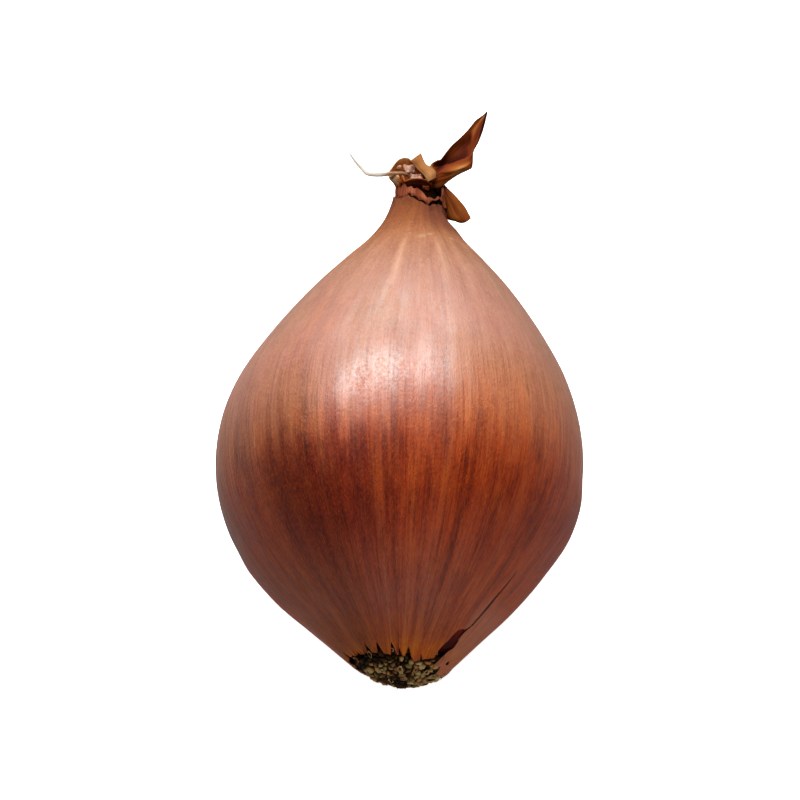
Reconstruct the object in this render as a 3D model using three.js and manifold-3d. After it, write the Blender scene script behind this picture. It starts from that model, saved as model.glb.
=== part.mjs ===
// A shallot lying on its side. A fleshy bulb sits in a loose papery skin that has split near the
// root end. A basal plate with dried root stubs closes one end, and dry leaf remains close the
// other. Millimetres, +Z up, +Y along the bulb towards its neck. The origin is the middle of the
// small flattened spot that the bulb rests on.
import * as THREE from "three";
import { mergeVertices } from "three/addons/utils/BufferGeometryUtils.js";
import Module from "manifold-3d";

const wasm = await Module();
wasm.setup();

// Driving dimensions
const bulbRadius = 22; // at the widest ring, which stands over the origin
const flatDepth = 0.7; // how far the flank is pressed in where it rests
const axisHeight = bulbRadius - flatDepth;
const neckLean = 0.0019; // sideways drift of the axis towards the neck, per mm squared
const skinThickness = 0.4;
const clearance = 0.3; // between neighbouring pieces
const facetsAround = 40;
const profileSteps = 26;

// Outside of the papery skin as [distance along the axis from the widest ring, radius]
const skinOutline = [
  [-25, 5.9],
  [-22, 9.2],
  [-18, 13.4],
  [-14, 16.9],
  [-10, 19.6],
  [-5, 21.45],
  [0, bulbRadius],
  [5, 21.45],
  [10, 19.75],
  [14, 17.55],
  [18, 14.95],
  [22, 12],
  [26, 8.6],
  [29, 5.95],
  [31.5, 4.4],
  [34, 3.6],
];
const neckEnd = skinOutline.at(-1)[0];
const skinCurve = new THREE.SplineCurve(
  skinOutline.map(([along, radius]) => new THREE.Vector2(radius, along)),
);

const innerNeck = { radius: 1.9, top: neckEnd + 2.4 }; // the bulb's own neck runs on past its skin
const bulbRootEnd = -24.2; // flat end of the bulb, on the basal plate
const plate = { radius: 4.9, top: bulbRootEnd - clearance, apex: -27.4 };

// Root stubs stand in rings on the domed face of the plate
const rootRings = [
  { count: 16, radius: 4.3 },
  { count: 12, radius: 3 },
  { count: 7, radius: 1.6 },
];
const rootThickness = 0.7;
const rootLength = 1.1;

// The split in the skin, seen from above, as [across, along]: open at the root end, then a crack
const splitOutline = [
  [3.7, -25.6],
  [5, -24.3],
  [6.9, -22.6],
  [8, -22.2],
  [13.6, -16.1],
  [13.75, -16.2],
  [8.3, -22.35],
  [7.1, -23.2],
  [6.2, -24.3],
  [4.9, -26],
];

const sheath = { foot: [1.2, 36.95, -0.3], length: 3.8 };
const innerScales = [
  { centre: [1.35, 38.7, 0.35], radii: [0.6, 0.85, 0.5] },
  { centre: [1.75, 37.75, -0.9], radii: [0.6, 0.5, 0.35] },
  { centre: [0.15, 38.6, -0.3], radii: [0.3, 0.7, 0.35] },
];

const colours = {
  flesh: 0x6e2a24,
  skin: 0xb0643c,
  plate: 0x3a2c1c,
  root: 0x9a8a62,
  collar: 0xa8603c,
  sheath: 0xb87a44,
  dryLeaf: 0x9a5a28,
  darkLeaf: 0x7a3416,
  paleScale: 0xd8b4a4,
  strand: 0xd8d0b8,
};

function finish(color, roughness) {
  return new THREE.MeshStandardMaterial({ color, roughness, metalness: 0 });
}

// Sideways drift of the bulb's axis at a distance along it
function lean(along) {
  return along > 0 ? neckLean * along * along : 0;
}

// A point given across the bulb, along it from the widest ring, and above its axis
function place(across, along, above) {
  return new THREE.Vector3(across, along, above + axisHeight);
}

const skinSamples = skinCurve.getPoints(200);

function skinRadiusAt(along) {
  const next = skinSamples.findIndex((sample) => sample.y >= along);
  if (next < 0) return skinSamples.at(-1).x;
  if (next === 0) return skinSamples[0].x;
  const [before, after] = [skinSamples[next - 1], skinSamples[next]];
  return THREE.MathUtils.mapLinear(along, before.y, after.y, before.x, after.x);
}

// The skin's outline moved inwards, square to itself
function outlineInside(depth) {
  return Array.from({ length: profileSteps + 1 }, (_, step) => {
    const tangent = skinCurve.getTangent(step / profileSteps);
    const inwards = new THREE.Vector2(-tangent.y, tangent.x);
    return skinCurve.getPoint(step / profileSteps).addScaledVector(inwards, depth);
  });
}

// Leans a turned piece with the bulb's axis and presses its underside flat, every layer alike
function settle(geometry) {
  const position = geometry.getAttribute("position");
  const point = new THREE.Vector3();
  for (let i = 0; i < position.count; i++) {
    point.fromBufferAttribute(position, i);
    const radius = Math.hypot(point.x, point.z);
    const skinHeight = radius > 0 ? axisHeight + (skinRadiusAt(point.y) * point.z) / radius : axisHeight;
    const pressed = Math.max(0, -skinHeight);
    position.setXYZ(i, point.x + lean(point.y), point.y, point.z + axisHeight + pressed);
  }
  return geometry;
}

function turned(profile) {
  return settle(new THREE.LatheGeometry(profile, facetsAround));
}

function toSolid(geometry) {
  const bare = geometry.clone();
  bare.deleteAttribute("normal");
  bare.deleteAttribute("uv");
  const merged = mergeVertices(bare, 1e-3);
  return new wasm.Manifold(
    new wasm.Mesh({
      numProp: 3,
      vertProperties: new Float32Array(merged.getAttribute("position").array),
      triVerts: new Uint32Array(merged.index.array),
    }),
  );
}

function toGeometry(solid) {
  const mesh = solid.getMesh();
  const geometry = new THREE.BufferGeometry();
  geometry.setAttribute("position", new THREE.BufferAttribute(mesh.vertProperties, 3));
  geometry.setIndex(new THREE.BufferAttribute(mesh.triVerts, 1));
  geometry.computeVertexNormals();
  return geometry;
}

// Fleshy bulb in its inner skin, from the basal plate to the top of its own neck
function makeBulb() {
  const wall = outlineInside(skinThickness + clearance);
  const first = wall.findIndex((point) => point.y > bulbRootEnd);
  const cut = (bulbRootEnd - wall[first - 1].y) / (wall[first].y - wall[first - 1].y);
  return turned([
    new THREE.Vector2(0, bulbRootEnd),
    wall[first - 1].clone().lerp(wall[first], cut),
    ...wall.slice(first),
    new THREE.Vector2(innerNeck.radius + 0.2, neckEnd + 0.4),
    new THREE.Vector2(innerNeck.radius, innerNeck.top),
    new THREE.Vector2(0, innerNeck.top),
  ]);
}

// Papery outer skin, open at both ends and split near the root end
function makeSkin() {
  const outside = outlineInside(0);
  const inside = outlineInside(skinThickness).reverse();
  const shell = toSolid(turned([...outside, ...inside, outside[0]]));
  const outline = new THREE.Shape(splitOutline.map(([across, along]) => new THREE.Vector2(across, along)));
  const cutter = new THREE.ExtrudeGeometry(outline, { depth: bulbRadius, bevelEnabled: false });
  cutter.translate(0, 0, axisHeight);
  return toGeometry(shell.subtract(toSolid(cutter)));
}

// How far along the bulb the domed face of the basal plate is at a distance from its middle
function plateFace(radius) {
  return plate.apex + (plate.top - plate.apex) * (radius / plate.radius) ** 2;
}

// Woody disc that the roots grow from
function makePlate() {
  const face = [0, 0.3, 0.55, 0.78, 0.95].map((share) => share * plate.radius);
  return turned([
    ...face.map((radius) => new THREE.Vector2(radius, plateFace(radius))),
    new THREE.Vector2(plate.radius - 0.1, plate.top),
    new THREE.Vector2(0, plate.top),
  ]);
}

// A round, tapering stem along a curve
function stem(points, startRadius, endRadius, sides, steps) {
  const path = new THREE.CatmullRomCurve3(points);
  const section = new THREE.Shape(
    Array.from({ length: sides }, (_, side) => {
      const angle = (2 * Math.PI * side) / sides;
      return new THREE.Vector2(Math.cos(angle), Math.sin(angle)).multiplyScalar(startRadius);
    }),
  );
  const geometry = new THREE.ExtrudeGeometry(section, { steps, extrudePath: path, bevelEnabled: false });
  const position = geometry.getAttribute("position");
  const stations = path.getSpacedPoints(steps);
  const point = new THREE.Vector3();
  for (let i = 0; i < position.count; i++) {
    point.fromBufferAttribute(position, i);
    const distances = stations.map((station) => station.distanceTo(point));
    const nearest = distances.indexOf(Math.min(...distances));
    const taper = THREE.MathUtils.lerp(1, endRadius / startRadius, nearest / steps);
    point.sub(stations[nearest]).multiplyScalar(taper).add(stations[nearest]);
    position.setXYZ(i, point.x, point.y, point.z);
  }
  return geometry;
}

// Dried root stubs, each square to the face of the basal plate and bent a little downwards
function makeRoots() {
  return rootRings.flatMap(({ count, radius }, ring) => {
    const slope = (2 * radius * (plate.top - plate.apex)) / plate.radius ** 2;
    return Array.from({ length: count }, (_, i) => {
      const wander = Math.sin(7.3 * i + 2.1 * ring); // gives each stub its own turn and length
      const angle = (2 * Math.PI * (i + 0.5 * ring)) / count + 0.12 * wander;
      const out = new THREE.Vector3(Math.cos(angle), 0, Math.sin(angle));
      const away = out.clone().multiplyScalar(slope).setY(-1).normalize();
      const length = rootLength * (0.9 + 0.2 * wander);
      const foot = place(0, plateFace(radius), 0).addScaledVector(out, radius).addScaledVector(away, clearance);
      const middle = foot.clone().addScaledVector(away, 0.5 * length);
      const tip = foot.clone().addScaledVector(away, length).add(new THREE.Vector3(0, 0, -0.12 * length));
      return stem([foot, middle, tip], rootThickness / 2, rootThickness / 2.6, 7, 3);
    });
  });
}

// Torn end of the second skin, a short ring past the outer skin's edge
function makeCollar() {
  const foot = neckEnd + clearance + 0.15;
  const profile = [
    [2.5, foot],
    [3.3, foot],
    [3.25, foot + 0.9],
    [3, foot + 1.7],
    [2.6, foot + 1.7],
    [2.5, foot],
  ];
  return turned(profile.map(([radius, along]) => new THREE.Vector2(radius, along)));
}

// Dry leaf sheath on the neck: a short tube cut on the slant, open towards one side
function makeSheath() {
  const profile = [
    [1.35, 0],
    [1.85, 0],
    [2.2, 0.35 * sheath.length],
    [2.1, 0.7 * sheath.length],
    [1.6, sheath.length],
    [1.2, sheath.length],
    [1.7, 0.68 * sheath.length],
    [1.8, 0.35 * sheath.length],
    [1.35, 0],
  ];
  const tube = new THREE.LatheGeometry(
    profile.map(([radius, along]) => new THREE.Vector2(radius, along)),
    24,
  );
  const cutter = new THREE.BoxGeometry(8, 8, 4).rotateX(-0.95).translate(0, 3.4, 2.5);
  const opened = toGeometry(toSolid(tube).subtract(toSolid(cutter)));
  const foot = place(...sheath.foot);
  return opened.translate(foot.x, foot.y, foot.z);
}

// Pale leaf bases inside the sheath
function makeInnerScales() {
  return innerScales.map(({ centre, radii }) => {
    const middle = place(...centre);
    return new THREE.SphereGeometry(1, 12, 8).scale(...radii).translate(middle.x, middle.y, middle.z);
  });
}

// A dry leaf: a thin slab along a spine, cupped across, as wide as its width function says
function leaf({ spine, across, halfWidth, thickness, cup, stepsAcross, stepsAlong }) {
  const path = new THREE.CatmullRomCurve3(spine.map((point) => place(...point)));
  const slab = new THREE.BoxGeometry(2, 1, thickness, stepsAcross, stepsAlong, 1);
  const position = slab.getAttribute("position");
  for (let i = 0; i < position.count; i++) {
    const share = position.getY(i) + 0.5;
    const aside = position.getX(i);
    const tangent = path.getTangent(share);
    const side = new THREE.Vector3(...across);
    side.addScaledVector(tangent, -side.dot(tangent)).normalize();
    const face = new THREE.Vector3().crossVectors(side, tangent);
    const width = halfWidth(share);
    const point = path
      .getPoint(share)
      .addScaledVector(side, width * aside)
      .addScaledVector(face, width * cup * aside * aside + position.getZ(i));
    position.setXYZ(i, point.x, point.y, point.z);
  }
  return slab;
}

// Long dry leaf that stands up and out to one side
function makeTallLeaf() {
  return leaf({
    spine: [
      [5.3, 37.2, 1.2],
      [7, 39.2, 1.6],
      [8.5, 41.4, 1.7],
      [9.7, 43.8, 1.7],
      [10.8, 46.3, 1.7],
    ],
    across: [0.8, -0.6, 0.1],
    halfWidth: (share) => 0.08 + 0.75 * (1 - share) + 1.25 * Math.sin(Math.PI * Math.sqrt(share)),
    thickness: 0.4,
    cup: 0.4,
    stepsAcross: 6,
    stepsAlong: 14,
  });
}

// Short square-ended leaf stub between the sheath and the long leaf
function makeTabLeaf() {
  return leaf({
    spine: [
      [3.9, 36.9, 2.5],
      [3.2, 38.1, 2.7],
      [2.1, 39.6, 2.6],
    ],
    across: [0.8, 0.5, 0],
    halfWidth: () => 0.62,
    thickness: 0.3,
    cup: 0.15,
    stepsAcross: 3,
    stepsAlong: 6,
  });
}

// Dry leaf bent back down beside the neck
function makeHangingLeaf() {
  return leaf({
    spine: [
      [6.35, 36.2, 0.8],
      [7.3, 34.7, 1],
      [7.9, 33.3, 0.9],
      [8.3, 31.8, 0.6],
    ],
    across: [-0.9, -0.5, 0],
    halfWidth: (share) => 0.3 + 0.95 * Math.sqrt(Math.sin(Math.PI * (0.05 + 0.88 * share))),
    thickness: 0.35,
    cup: -0.35,
    stepsAcross: 4,
    stepsAlong: 10,
  });
}

// White dried shoot that curls out sideways from the sheath
function makeStrand() {
  const route = [
    [-1.5, 38.1, 1],
    [-2.7, 38, 1],
    [-4, 38.1, 1],
    [-4.9, 39, 0.9],
    [-5.6, 39.9, 0.8],
    [-6.2, 40.8, 0.7],
  ];
  return stem(
    route.map((point) => place(...point)),
    0.32,
    0.14,
    8,
    10,
  );
}

const shallot = new THREE.Group();

function add(name, geometry, material) {
  const mesh = new THREE.Mesh(geometry, material);
  mesh.name = name;
  shallot.add(mesh);
}

function addAll(prefix, geometries, material) {
  geometries.forEach((geometry, i) => add(`${prefix}_${String(i + 1).padStart(2, "0")}`, geometry, material));
}

add("bulb", makeBulb(), finish(colours.flesh, 0.35));
add("outer_skin", makeSkin(), finish(colours.skin, 0.4));
add("root_plate", makePlate(), finish(colours.plate, 0.9));
addAll("root_stub", makeRoots(), finish(colours.root, 0.85));
add("neck_collar", makeCollar(), finish(colours.collar, 0.6));
add("leaf_sheath", makeSheath(), finish(colours.sheath, 0.6));
addAll("inner_scale", makeInnerScales(), finish(colours.paleScale, 0.5));
add("tall_leaf", makeTallLeaf(), finish(colours.darkLeaf, 0.55));
add("tab_leaf", makeTabLeaf(), finish(colours.dryLeaf, 0.6));
add("hanging_leaf", makeHangingLeaf(), finish(colours.dryLeaf, 0.55));
add("dried_strand", makeStrand(), finish(colours.strand, 0.6));

export default shallot;
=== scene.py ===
from math import cos, pi, radians, sin

import bpy
import numpy as np
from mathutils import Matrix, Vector, noise


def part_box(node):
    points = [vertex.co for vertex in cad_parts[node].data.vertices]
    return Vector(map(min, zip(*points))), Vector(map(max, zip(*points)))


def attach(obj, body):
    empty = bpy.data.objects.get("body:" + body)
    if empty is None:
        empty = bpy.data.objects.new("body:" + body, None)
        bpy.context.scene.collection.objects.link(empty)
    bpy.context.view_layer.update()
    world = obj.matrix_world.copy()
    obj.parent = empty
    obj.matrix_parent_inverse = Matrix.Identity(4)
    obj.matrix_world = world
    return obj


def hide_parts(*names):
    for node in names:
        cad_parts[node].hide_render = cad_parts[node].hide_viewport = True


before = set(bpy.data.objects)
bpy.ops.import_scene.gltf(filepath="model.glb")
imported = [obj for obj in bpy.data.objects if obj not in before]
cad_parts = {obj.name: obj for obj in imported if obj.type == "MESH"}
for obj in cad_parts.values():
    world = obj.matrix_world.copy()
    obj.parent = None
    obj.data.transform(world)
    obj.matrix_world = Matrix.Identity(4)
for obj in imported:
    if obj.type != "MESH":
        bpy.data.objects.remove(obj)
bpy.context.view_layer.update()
bpy.ops.object.select_all(action="DESELECT")
print("frame loaded")

mm = 0.001
metre = 1000  # in millimetres

# The bulb lies along Y. Places on it are given in millimetres: along it from its widest ring,
# out from its axis, and round it in degrees, from 0 on the right over 90 on top.
widest = 22
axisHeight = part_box("outer_skin")[1].z / mm - widest

body = {
    # along, radius
    "profile": [
        (-27.3, 1.6), (-26.9, 3.2), (-26.2, 4.75), (-25, 6.05), (-22, 9.2), (-18, 13.4), (-14, 16.9),
        (-10, 19.6), (-5, 21.45), (0, widest), (5, 21.45), (10, 19.75), (14, 17.55), (18, 14.95), (22, 12),
        (26, 8.6), (29, 5.95), (31.5, 4.4), (34, 3.6), (37, 3.25),
    ],
    "sides": 64,
    "lean": 0.09,  # the axis drifts to the right from 7 mm on towards the neck, per mm
    "leanFrom": 7,
    "leanEase": 4,  # and bends that gently there
    "rootLean": 0.0016,  # it drifts a little towards the root end too, per mm squared
    "rootLeanFrom": -8,
}


def smoothStep(low, high, value):
    share = np.clip((value - low) / (high - low), 0, 1)
    return share * share * (3 - 2 * share)


def radiusAt(along):
    # cubic through the profile, so that rings between its points stay round
    xs, ys = np.array(body["profile"], float).T
    slopes = np.gradient(ys, xs)
    along = np.clip(along, xs[0], xs[-1])
    i = np.clip(np.searchsorted(xs, along) - 1, 0, len(xs) - 2)
    step = xs[i + 1] - xs[i]
    t = (along - xs[i]) / step
    return (
        (2 * t**3 - 3 * t**2 + 1) * ys[i]
        + (t**3 - 2 * t**2 + t) * step * slopes[i]
        + (3 * t**2 - 2 * t**3) * ys[i + 1]
        + (t**3 - t**2) * step * slopes[i + 1]
    )


def axisDrift(along):
    past = along - body["leanFrom"]
    towardsNeck = body["lean"] * (np.hypot(past, body["leanEase"]) + past) / 2
    return towardsNeck + body["rootLean"] * np.minimum(along - body["rootLeanFrom"], 0) ** 2


def awayFrom(turn, middle):
    # degrees round the bulb from `middle`, the short way
    return np.abs((turn - middle + 180) % 360 - 180)


# Modelling helpers

def readPoints(piece):
    flat = np.empty(len(piece.data.vertices) * 3)
    piece.data.vertices.foreach_get("co", flat)
    return flat.reshape(-1, 3)


def writePoints(piece, points):
    piece.data.vertices.foreach_set("co", points.ravel())
    piece.data.update()


def applyModifier(piece, kind, **settings):
    bpy.context.view_layer.objects.active = piece
    modifier = piece.modifiers.new(kind.title(), kind)
    for setting, value in settings.items():
        setattr(modifier, setting, value)
    bpy.ops.object.modifier_apply(modifier=modifier.name)


def startEditing():
    bpy.ops.object.mode_set(mode="EDIT")
    bpy.ops.mesh.select_all(action="SELECT")


def endEditing():
    # with every face pointing outwards
    bpy.ops.mesh.select_all(action="SELECT")
    bpy.ops.mesh.normals_make_consistent(inside=False)
    bpy.ops.object.mode_set(mode="OBJECT")


def turnRings(name, profile, sides, levels=2, closed=False):
    # a ring at the first station, extruded and resized from each station to the next
    centre = lambda along: (0, along * mm, axisHeight * mm)
    firstAlong, firstRadius = profile[0]
    bpy.ops.mesh.primitive_circle_add(
        vertices=sides, radius=firstRadius * mm, location=centre(firstAlong), rotation=(pi / 2, 0, 0)
    )
    piece = bpy.context.object
    piece.name = name
    bpy.ops.object.transform_apply()
    startEditing()
    for (along, radius), (nextAlong, nextRadius) in zip(profile, profile[1:]):
        bpy.ops.mesh.extrude_region_move(
            TRANSFORM_OT_translate={"value": (0, (nextAlong - along) * mm, 0)}
        )
        grow = nextRadius / radius
        bpy.ops.transform.resize(value=(grow, 1, grow), center_override=centre(nextAlong))
    if closed:
        bpy.ops.mesh.select_all(action="SELECT")
        bpy.ops.mesh.fill_holes(sides=0)
    endEditing()
    applyModifier(piece, "SUBSURF", levels=levels, render_levels=levels)
    return piece


def smoothRows(points, count):
    # a smooth curve through the rows of points, taken at `count` even steps
    points = np.asarray(points, float)
    padded = np.concatenate([2 * points[:1] - points[1:2], points, 2 * points[-1:] - points[-2:-1]])
    t = np.linspace(0, len(points) - 1, count)
    i = np.minimum(t.astype(int), len(points) - 2)
    t = (t - i).reshape(-1, *[1] * (points.ndim - 1))
    a, b, c, d = (padded[i + step] for step in range(4))
    return b + 0.5 * t * (c - a + t * (2 * a - 5 * b + 4 * c - d + t * (3 * (b - c) + d - a)))


def pushOut(piece, amounts):
    # moves each point along its normal, in millimetres
    normals = np.empty(len(piece.data.vertices) * 3)
    piece.data.vertex_normals.foreach_get("vector", normals)
    writePoints(piece, readPoints(piece) + normals.reshape(-1, 3) * (amounts * mm)[:, None])


def lumps(points, size, seed):
    # smooth noise, about `size` millimetres from lump to lump
    return np.array([noise.noise(Vector(point / (size * mm)) + Vector((seed, 0, 0))) for point in points])


def setTone(piece, tones):
    # how light each point is, from 0 to 1, for the piece's material
    attribute = piece.data.attributes.new("tone", "FLOAT", "POINT")
    attribute.data.foreach_set("value", np.asarray(tones, dtype=np.float32))


def thicken(piece, values, offset=0):
    applyModifier(piece, "SOLIDIFY", thickness=values["thickness"] * mm, offset=offset)


def makeSheet(name, stations, rows, columns, ring=False):
    # a grid laid through stations, each a row of points: right, along and up from the axis, and tone
    bpy.ops.mesh.primitive_grid_add(x_subdivisions=columns, y_subdivisions=rows, size=10 * mm)
    piece = bpy.context.object
    piece.name = name
    grid = smoothRows(smoothRows(stations, rows + 1).swapaxes(0, 1), columns + 1).swapaxes(0, 1)
    grid = grid.reshape(-1, 4)
    writePoints(piece, (grid[:, :3] + (0, 0, axisHeight)) * mm)
    setTone(piece, np.clip(grid[:, 3], 0, 1))
    if ring:
        # the last row lies on the first
        startEditing()
        bpy.ops.mesh.remove_doubles(threshold=0.001 * mm)
        endEditing()
    return piece


def finishPiece(piece, material, node, sharp=50):
    piece.data.materials.clear()
    piece.data.materials.append(material)
    bpy.ops.object.select_all(action="DESELECT")
    bpy.context.view_layer.objects.active = piece
    piece.select_set(True)
    bpy.ops.object.shade_smooth_by_angle(angle=radians(sharp))
    piece.select_set(False)
    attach(piece, "root")
    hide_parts(node)
    print(piece.name, len(piece.data.polygons), "faces")


def toBulb(points):
    # along, round in degrees, and distance out of each point, with the axis straight
    x, y, z = points.T / mm
    z = z - axisHeight
    return y, np.degrees(np.arctan2(z, x)), np.hypot(x, z)


def fromBulb(along, turn, out):
    # the axis leans, and the underside is pressed flat where the bulb rests
    turn = np.radians(turn)
    pressed = np.maximum(0, -(axisHeight + radiusAt(along) * np.sin(turn)))
    x = out * np.cos(turn) + axisDrift(along)
    z = out * np.sin(turn) + axisHeight + pressed
    return np.stack([x, along, z], axis=1) * mm


def roundNoise(turn, along, waves, stretch, seed):
    # noise that closes on itself round the bulb: about `waves` lumps round it
    turn = np.radians(turn)
    reach = waves / (2 * pi)
    points = np.stack([np.cos(turn) * reach, np.sin(turn) * reach, along * stretch + seed], axis=1)
    return np.array([noise.noise(Vector(point)) for point in points])


# Shader maths

class Field:
    # a socket that adds its Math nodes when it is used in an expression
    def __init__(self, recipe, socket):
        self.recipe, self.socket = recipe, socket

    def maths(self, operation, *values):
        return self.recipe.add("ShaderNodeMath", {"operation": operation}, dict(enumerate(values)))

    def __add__(self, other):
        return self.maths("ADD", self, other)

    def __sub__(self, other):
        return self.maths("SUBTRACT", self, other)

    def __rsub__(self, other):
        return self.maths("SUBTRACT", other, self)

    def __mul__(self, other):
        return self.maths("MULTIPLY", self, other)

    def __truediv__(self, other):
        return self.maths("DIVIDE", self, other)

    def __pow__(self, other):
        return self.maths("POWER", self, other)

    __radd__ = __add__
    __rmul__ = __mul__


class Recipe:
    # one material, built a node at a time
    def __init__(self, name):
        self.material = bpy.data.materials.new(name)
        self.material.use_nodes = True
        self.tree = self.material.node_tree
        self.tree.nodes.clear()

    def add(self, kind, settings=None, sockets=None, output=0):
        node = self.tree.nodes.new(kind)
        for setting, value in (settings or {}).items():
            if setting == "stops":
                self.setStops(node.color_ramp, value)
            else:
                setattr(node, setting, value)
        for name, value in (sockets or {}).items():
            if isinstance(value, Field):
                self.tree.links.new(value.socket, node.inputs[name])
            else:
                node.inputs[name].default_value = value
        return Field(self, node.outputs[output]) if node.outputs else node

    def setStops(self, ramp, stops):
        while len(ramp.elements) < len(stops):
            ramp.elements.new(0.5)
        for element, (position, colour) in zip(ramp.elements, stops):
            element.position = position
            element.color = (*colour, 1)

    def mix(self, share, first, second, blend="MIX"):
        first, second = (shade if isinstance(shade, Field) else (*shade, 1) for shade in (first, second))
        settings = {"data_type": "RGBA", "blend_type": blend}
        return self.add("ShaderNodeMix", settings, {0: share, 6: first, 7: second}, 2)

    def stain(self, share, tint, shade):
        return self.mix(share, tint, shade, "MULTIPLY")

    def mixValues(self, share, first, second):
        return self.add("ShaderNodeMix", {"data_type": "FLOAT"}, {0: share, 2: first, 3: second})

    def ramp(self, value, stops):
        return self.add("ShaderNodeValToRGB", {"stops": stops}, {0: value})

    def step(self, low, high, value):
        settings = {"interpolation_type": "SMOOTHSTEP"}
        return self.add("ShaderNodeMapRange", settings, {"Value": value, "From Min": low, "From Max": high})

    def position(self):
        return self.add("ShaderNodeTexCoord", output=3)

    def tone(self):
        return self.add("ShaderNodeAttribute", {"attribute_name": "tone"}, output=2)

    def noise(self, where, scale, detail, rough=0.5, distortion=0.0):
        return self.add("ShaderNodeTexNoise", {}, {
            "Vector": where, "Scale": scale, "Detail": detail, "Roughness": rough, "Distortion": distortion})

    def bump(self, height, distance, strength=0.6):
        return self.add("ShaderNodeBump", {}, {
            "Strength": strength, "Distance": distance * mm, "Height": height})

    def bulbPlace(self):
        # where a point lies on the bulb: along it, and the direction out of its axis
        split = self.add("ShaderNodeSeparateXYZ", {}, {0: self.position()}).socket.node
        x, y, z = (Field(self, output) for output in split.outputs)
        past = y - body["leanFrom"] * mm
        across = x - ((past * past + (body["leanEase"] * mm) ** 2) ** 0.5 + past) * (body["lean"] / 2)
        up = z - axisHeight * mm
        out = (across * across + up * up) ** 0.5
        return {"along": y, "sideways": across / out, "upwards": up / out}

    def fibres(self, place, waves, stretch, detail, seed, rough=0.5, distortion=0.0):
        # noise drawn out along the bulb, so that its lines meet at both ends
        reach = waves / (2 * pi)
        where = self.add("ShaderNodeCombineXYZ", {}, {
            0: place["sideways"] * reach,
            1: place["along"] * stretch + seed,
            2: place["upwards"] * reach,
        })
        return self.noise(where, 1.0, detail, rough, distortion)

    def finish(self, sockets):
        shader = self.add("ShaderNodeBsdfPrincipled", {}, sockets)
        self.add("ShaderNodeOutputMaterial", {}, {"Surface": shader})
        return self.material


def colour(red, green, blue):
    # from the 0 to 255 of a colour picker to the linear values that shaders take
    return tuple(
        ((c / 255 + 0.055) / 1.055) ** 2.4 if c > 10 else c / 255 / 12.92 for c in (red, green, blue)
    )


# Papery outer skin

outerSkin = {
    "thickness": 0.12,
    "ribDepth": 0.16,
    "broadDepth": 0.22,  # of the lumps of the layers beneath
    "rings": (-26.2, -25.7, -25.2, -24.6, -24, -22, -19.5, -17, -14, -11, -8, -5, -2, 1, 4, 7, 10, 13, 16, 19,
              22, 24.5, 27, 29, 31, 32.5, 34, 35.5, 37),
    # at both ends the last rings run out to the torn edge: from where, how far they go unstretched, and
    # how frayed the edge is
    "neckPart": (26, 11, 0.3),
    "rootPart": (-20, -6.2, 0.22),
    # where the torn end at the neck lies, as round: along
    "neckEdge": [
        (-180, 35.4), (-150, 35.1), (-110, 35.6), (-70, 34.6), (-30, 33.4), (10, 33.0), (30, 33.0),
        (44, 33.15), (52, 32.95), (64, 32.75), (71, 32.3), (77, 32.4), (82, 32.7), (97, 33.3), (112, 34.0),
        (121, 33.8), (130, 34.0), (142, 34.1), (156, 34.6), (172, 35.2), (180, 35.4),
    ],
    # and the tips of the tongues at the root end
    "rootEdge": [
        (-180, -24.7), (-150, -25.2), (-110, -25.6), (-60, -25.8), (-20, -26.1), (0, -26.5), (13, -26.65),
        (22, -26.45), (30, -26.2), (42, -26.1), (48, -25.6), (55, -25.85), (75, -26.1), (83, -25.75),
        (91, -25.65), (103, -25.75), (112, -25.4), (128, -25.2), (142, -25.05), (158, -24.8), (180, -24.7),
    ],
    # dry gaps between the tongues on top, as round, height, width, lean
    "gaps": [
        (68, 0.7, 5, 3), (86, 0.9, 8.5, -0.5), (95.5, 0.8, 5.5, 0.5), (103.5, 1.35, 10, -0.5),
        (119, 1.1, 9, -1), (132, 1.05, 9, -1), (139, 0.5, 3, -1), (143.5, 0.6, 3.4, 0), (148, 0.7, 3.4, 0),
        (153, 0.6, 3.4, 0), (159, 0.45, 3.4, 0),
    ],
    # and the notches between the others, from the first on, a step apart
    "notches": {
        "count": 13, "first": 170, "step": 13, "stray": 4, "depth": 1.3, "vary": 0.7, "halfWidth": 2.75,
    },
    # hollows and swellings, as round, width, depth, where along they begin, and where they end
    # (the first runs on past the neck)
    "swellings": [
        (8, 42, -0.55, (29.8, 32.3), (60, 50)),
        (0, 34, 0.34, (-2, -6), (-13, -8.5)),
        (180, 34, 0.36, (-10, -13), (-19.5, -16.5)),
    ],
    "neckCurl": 0.22,
}

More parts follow.
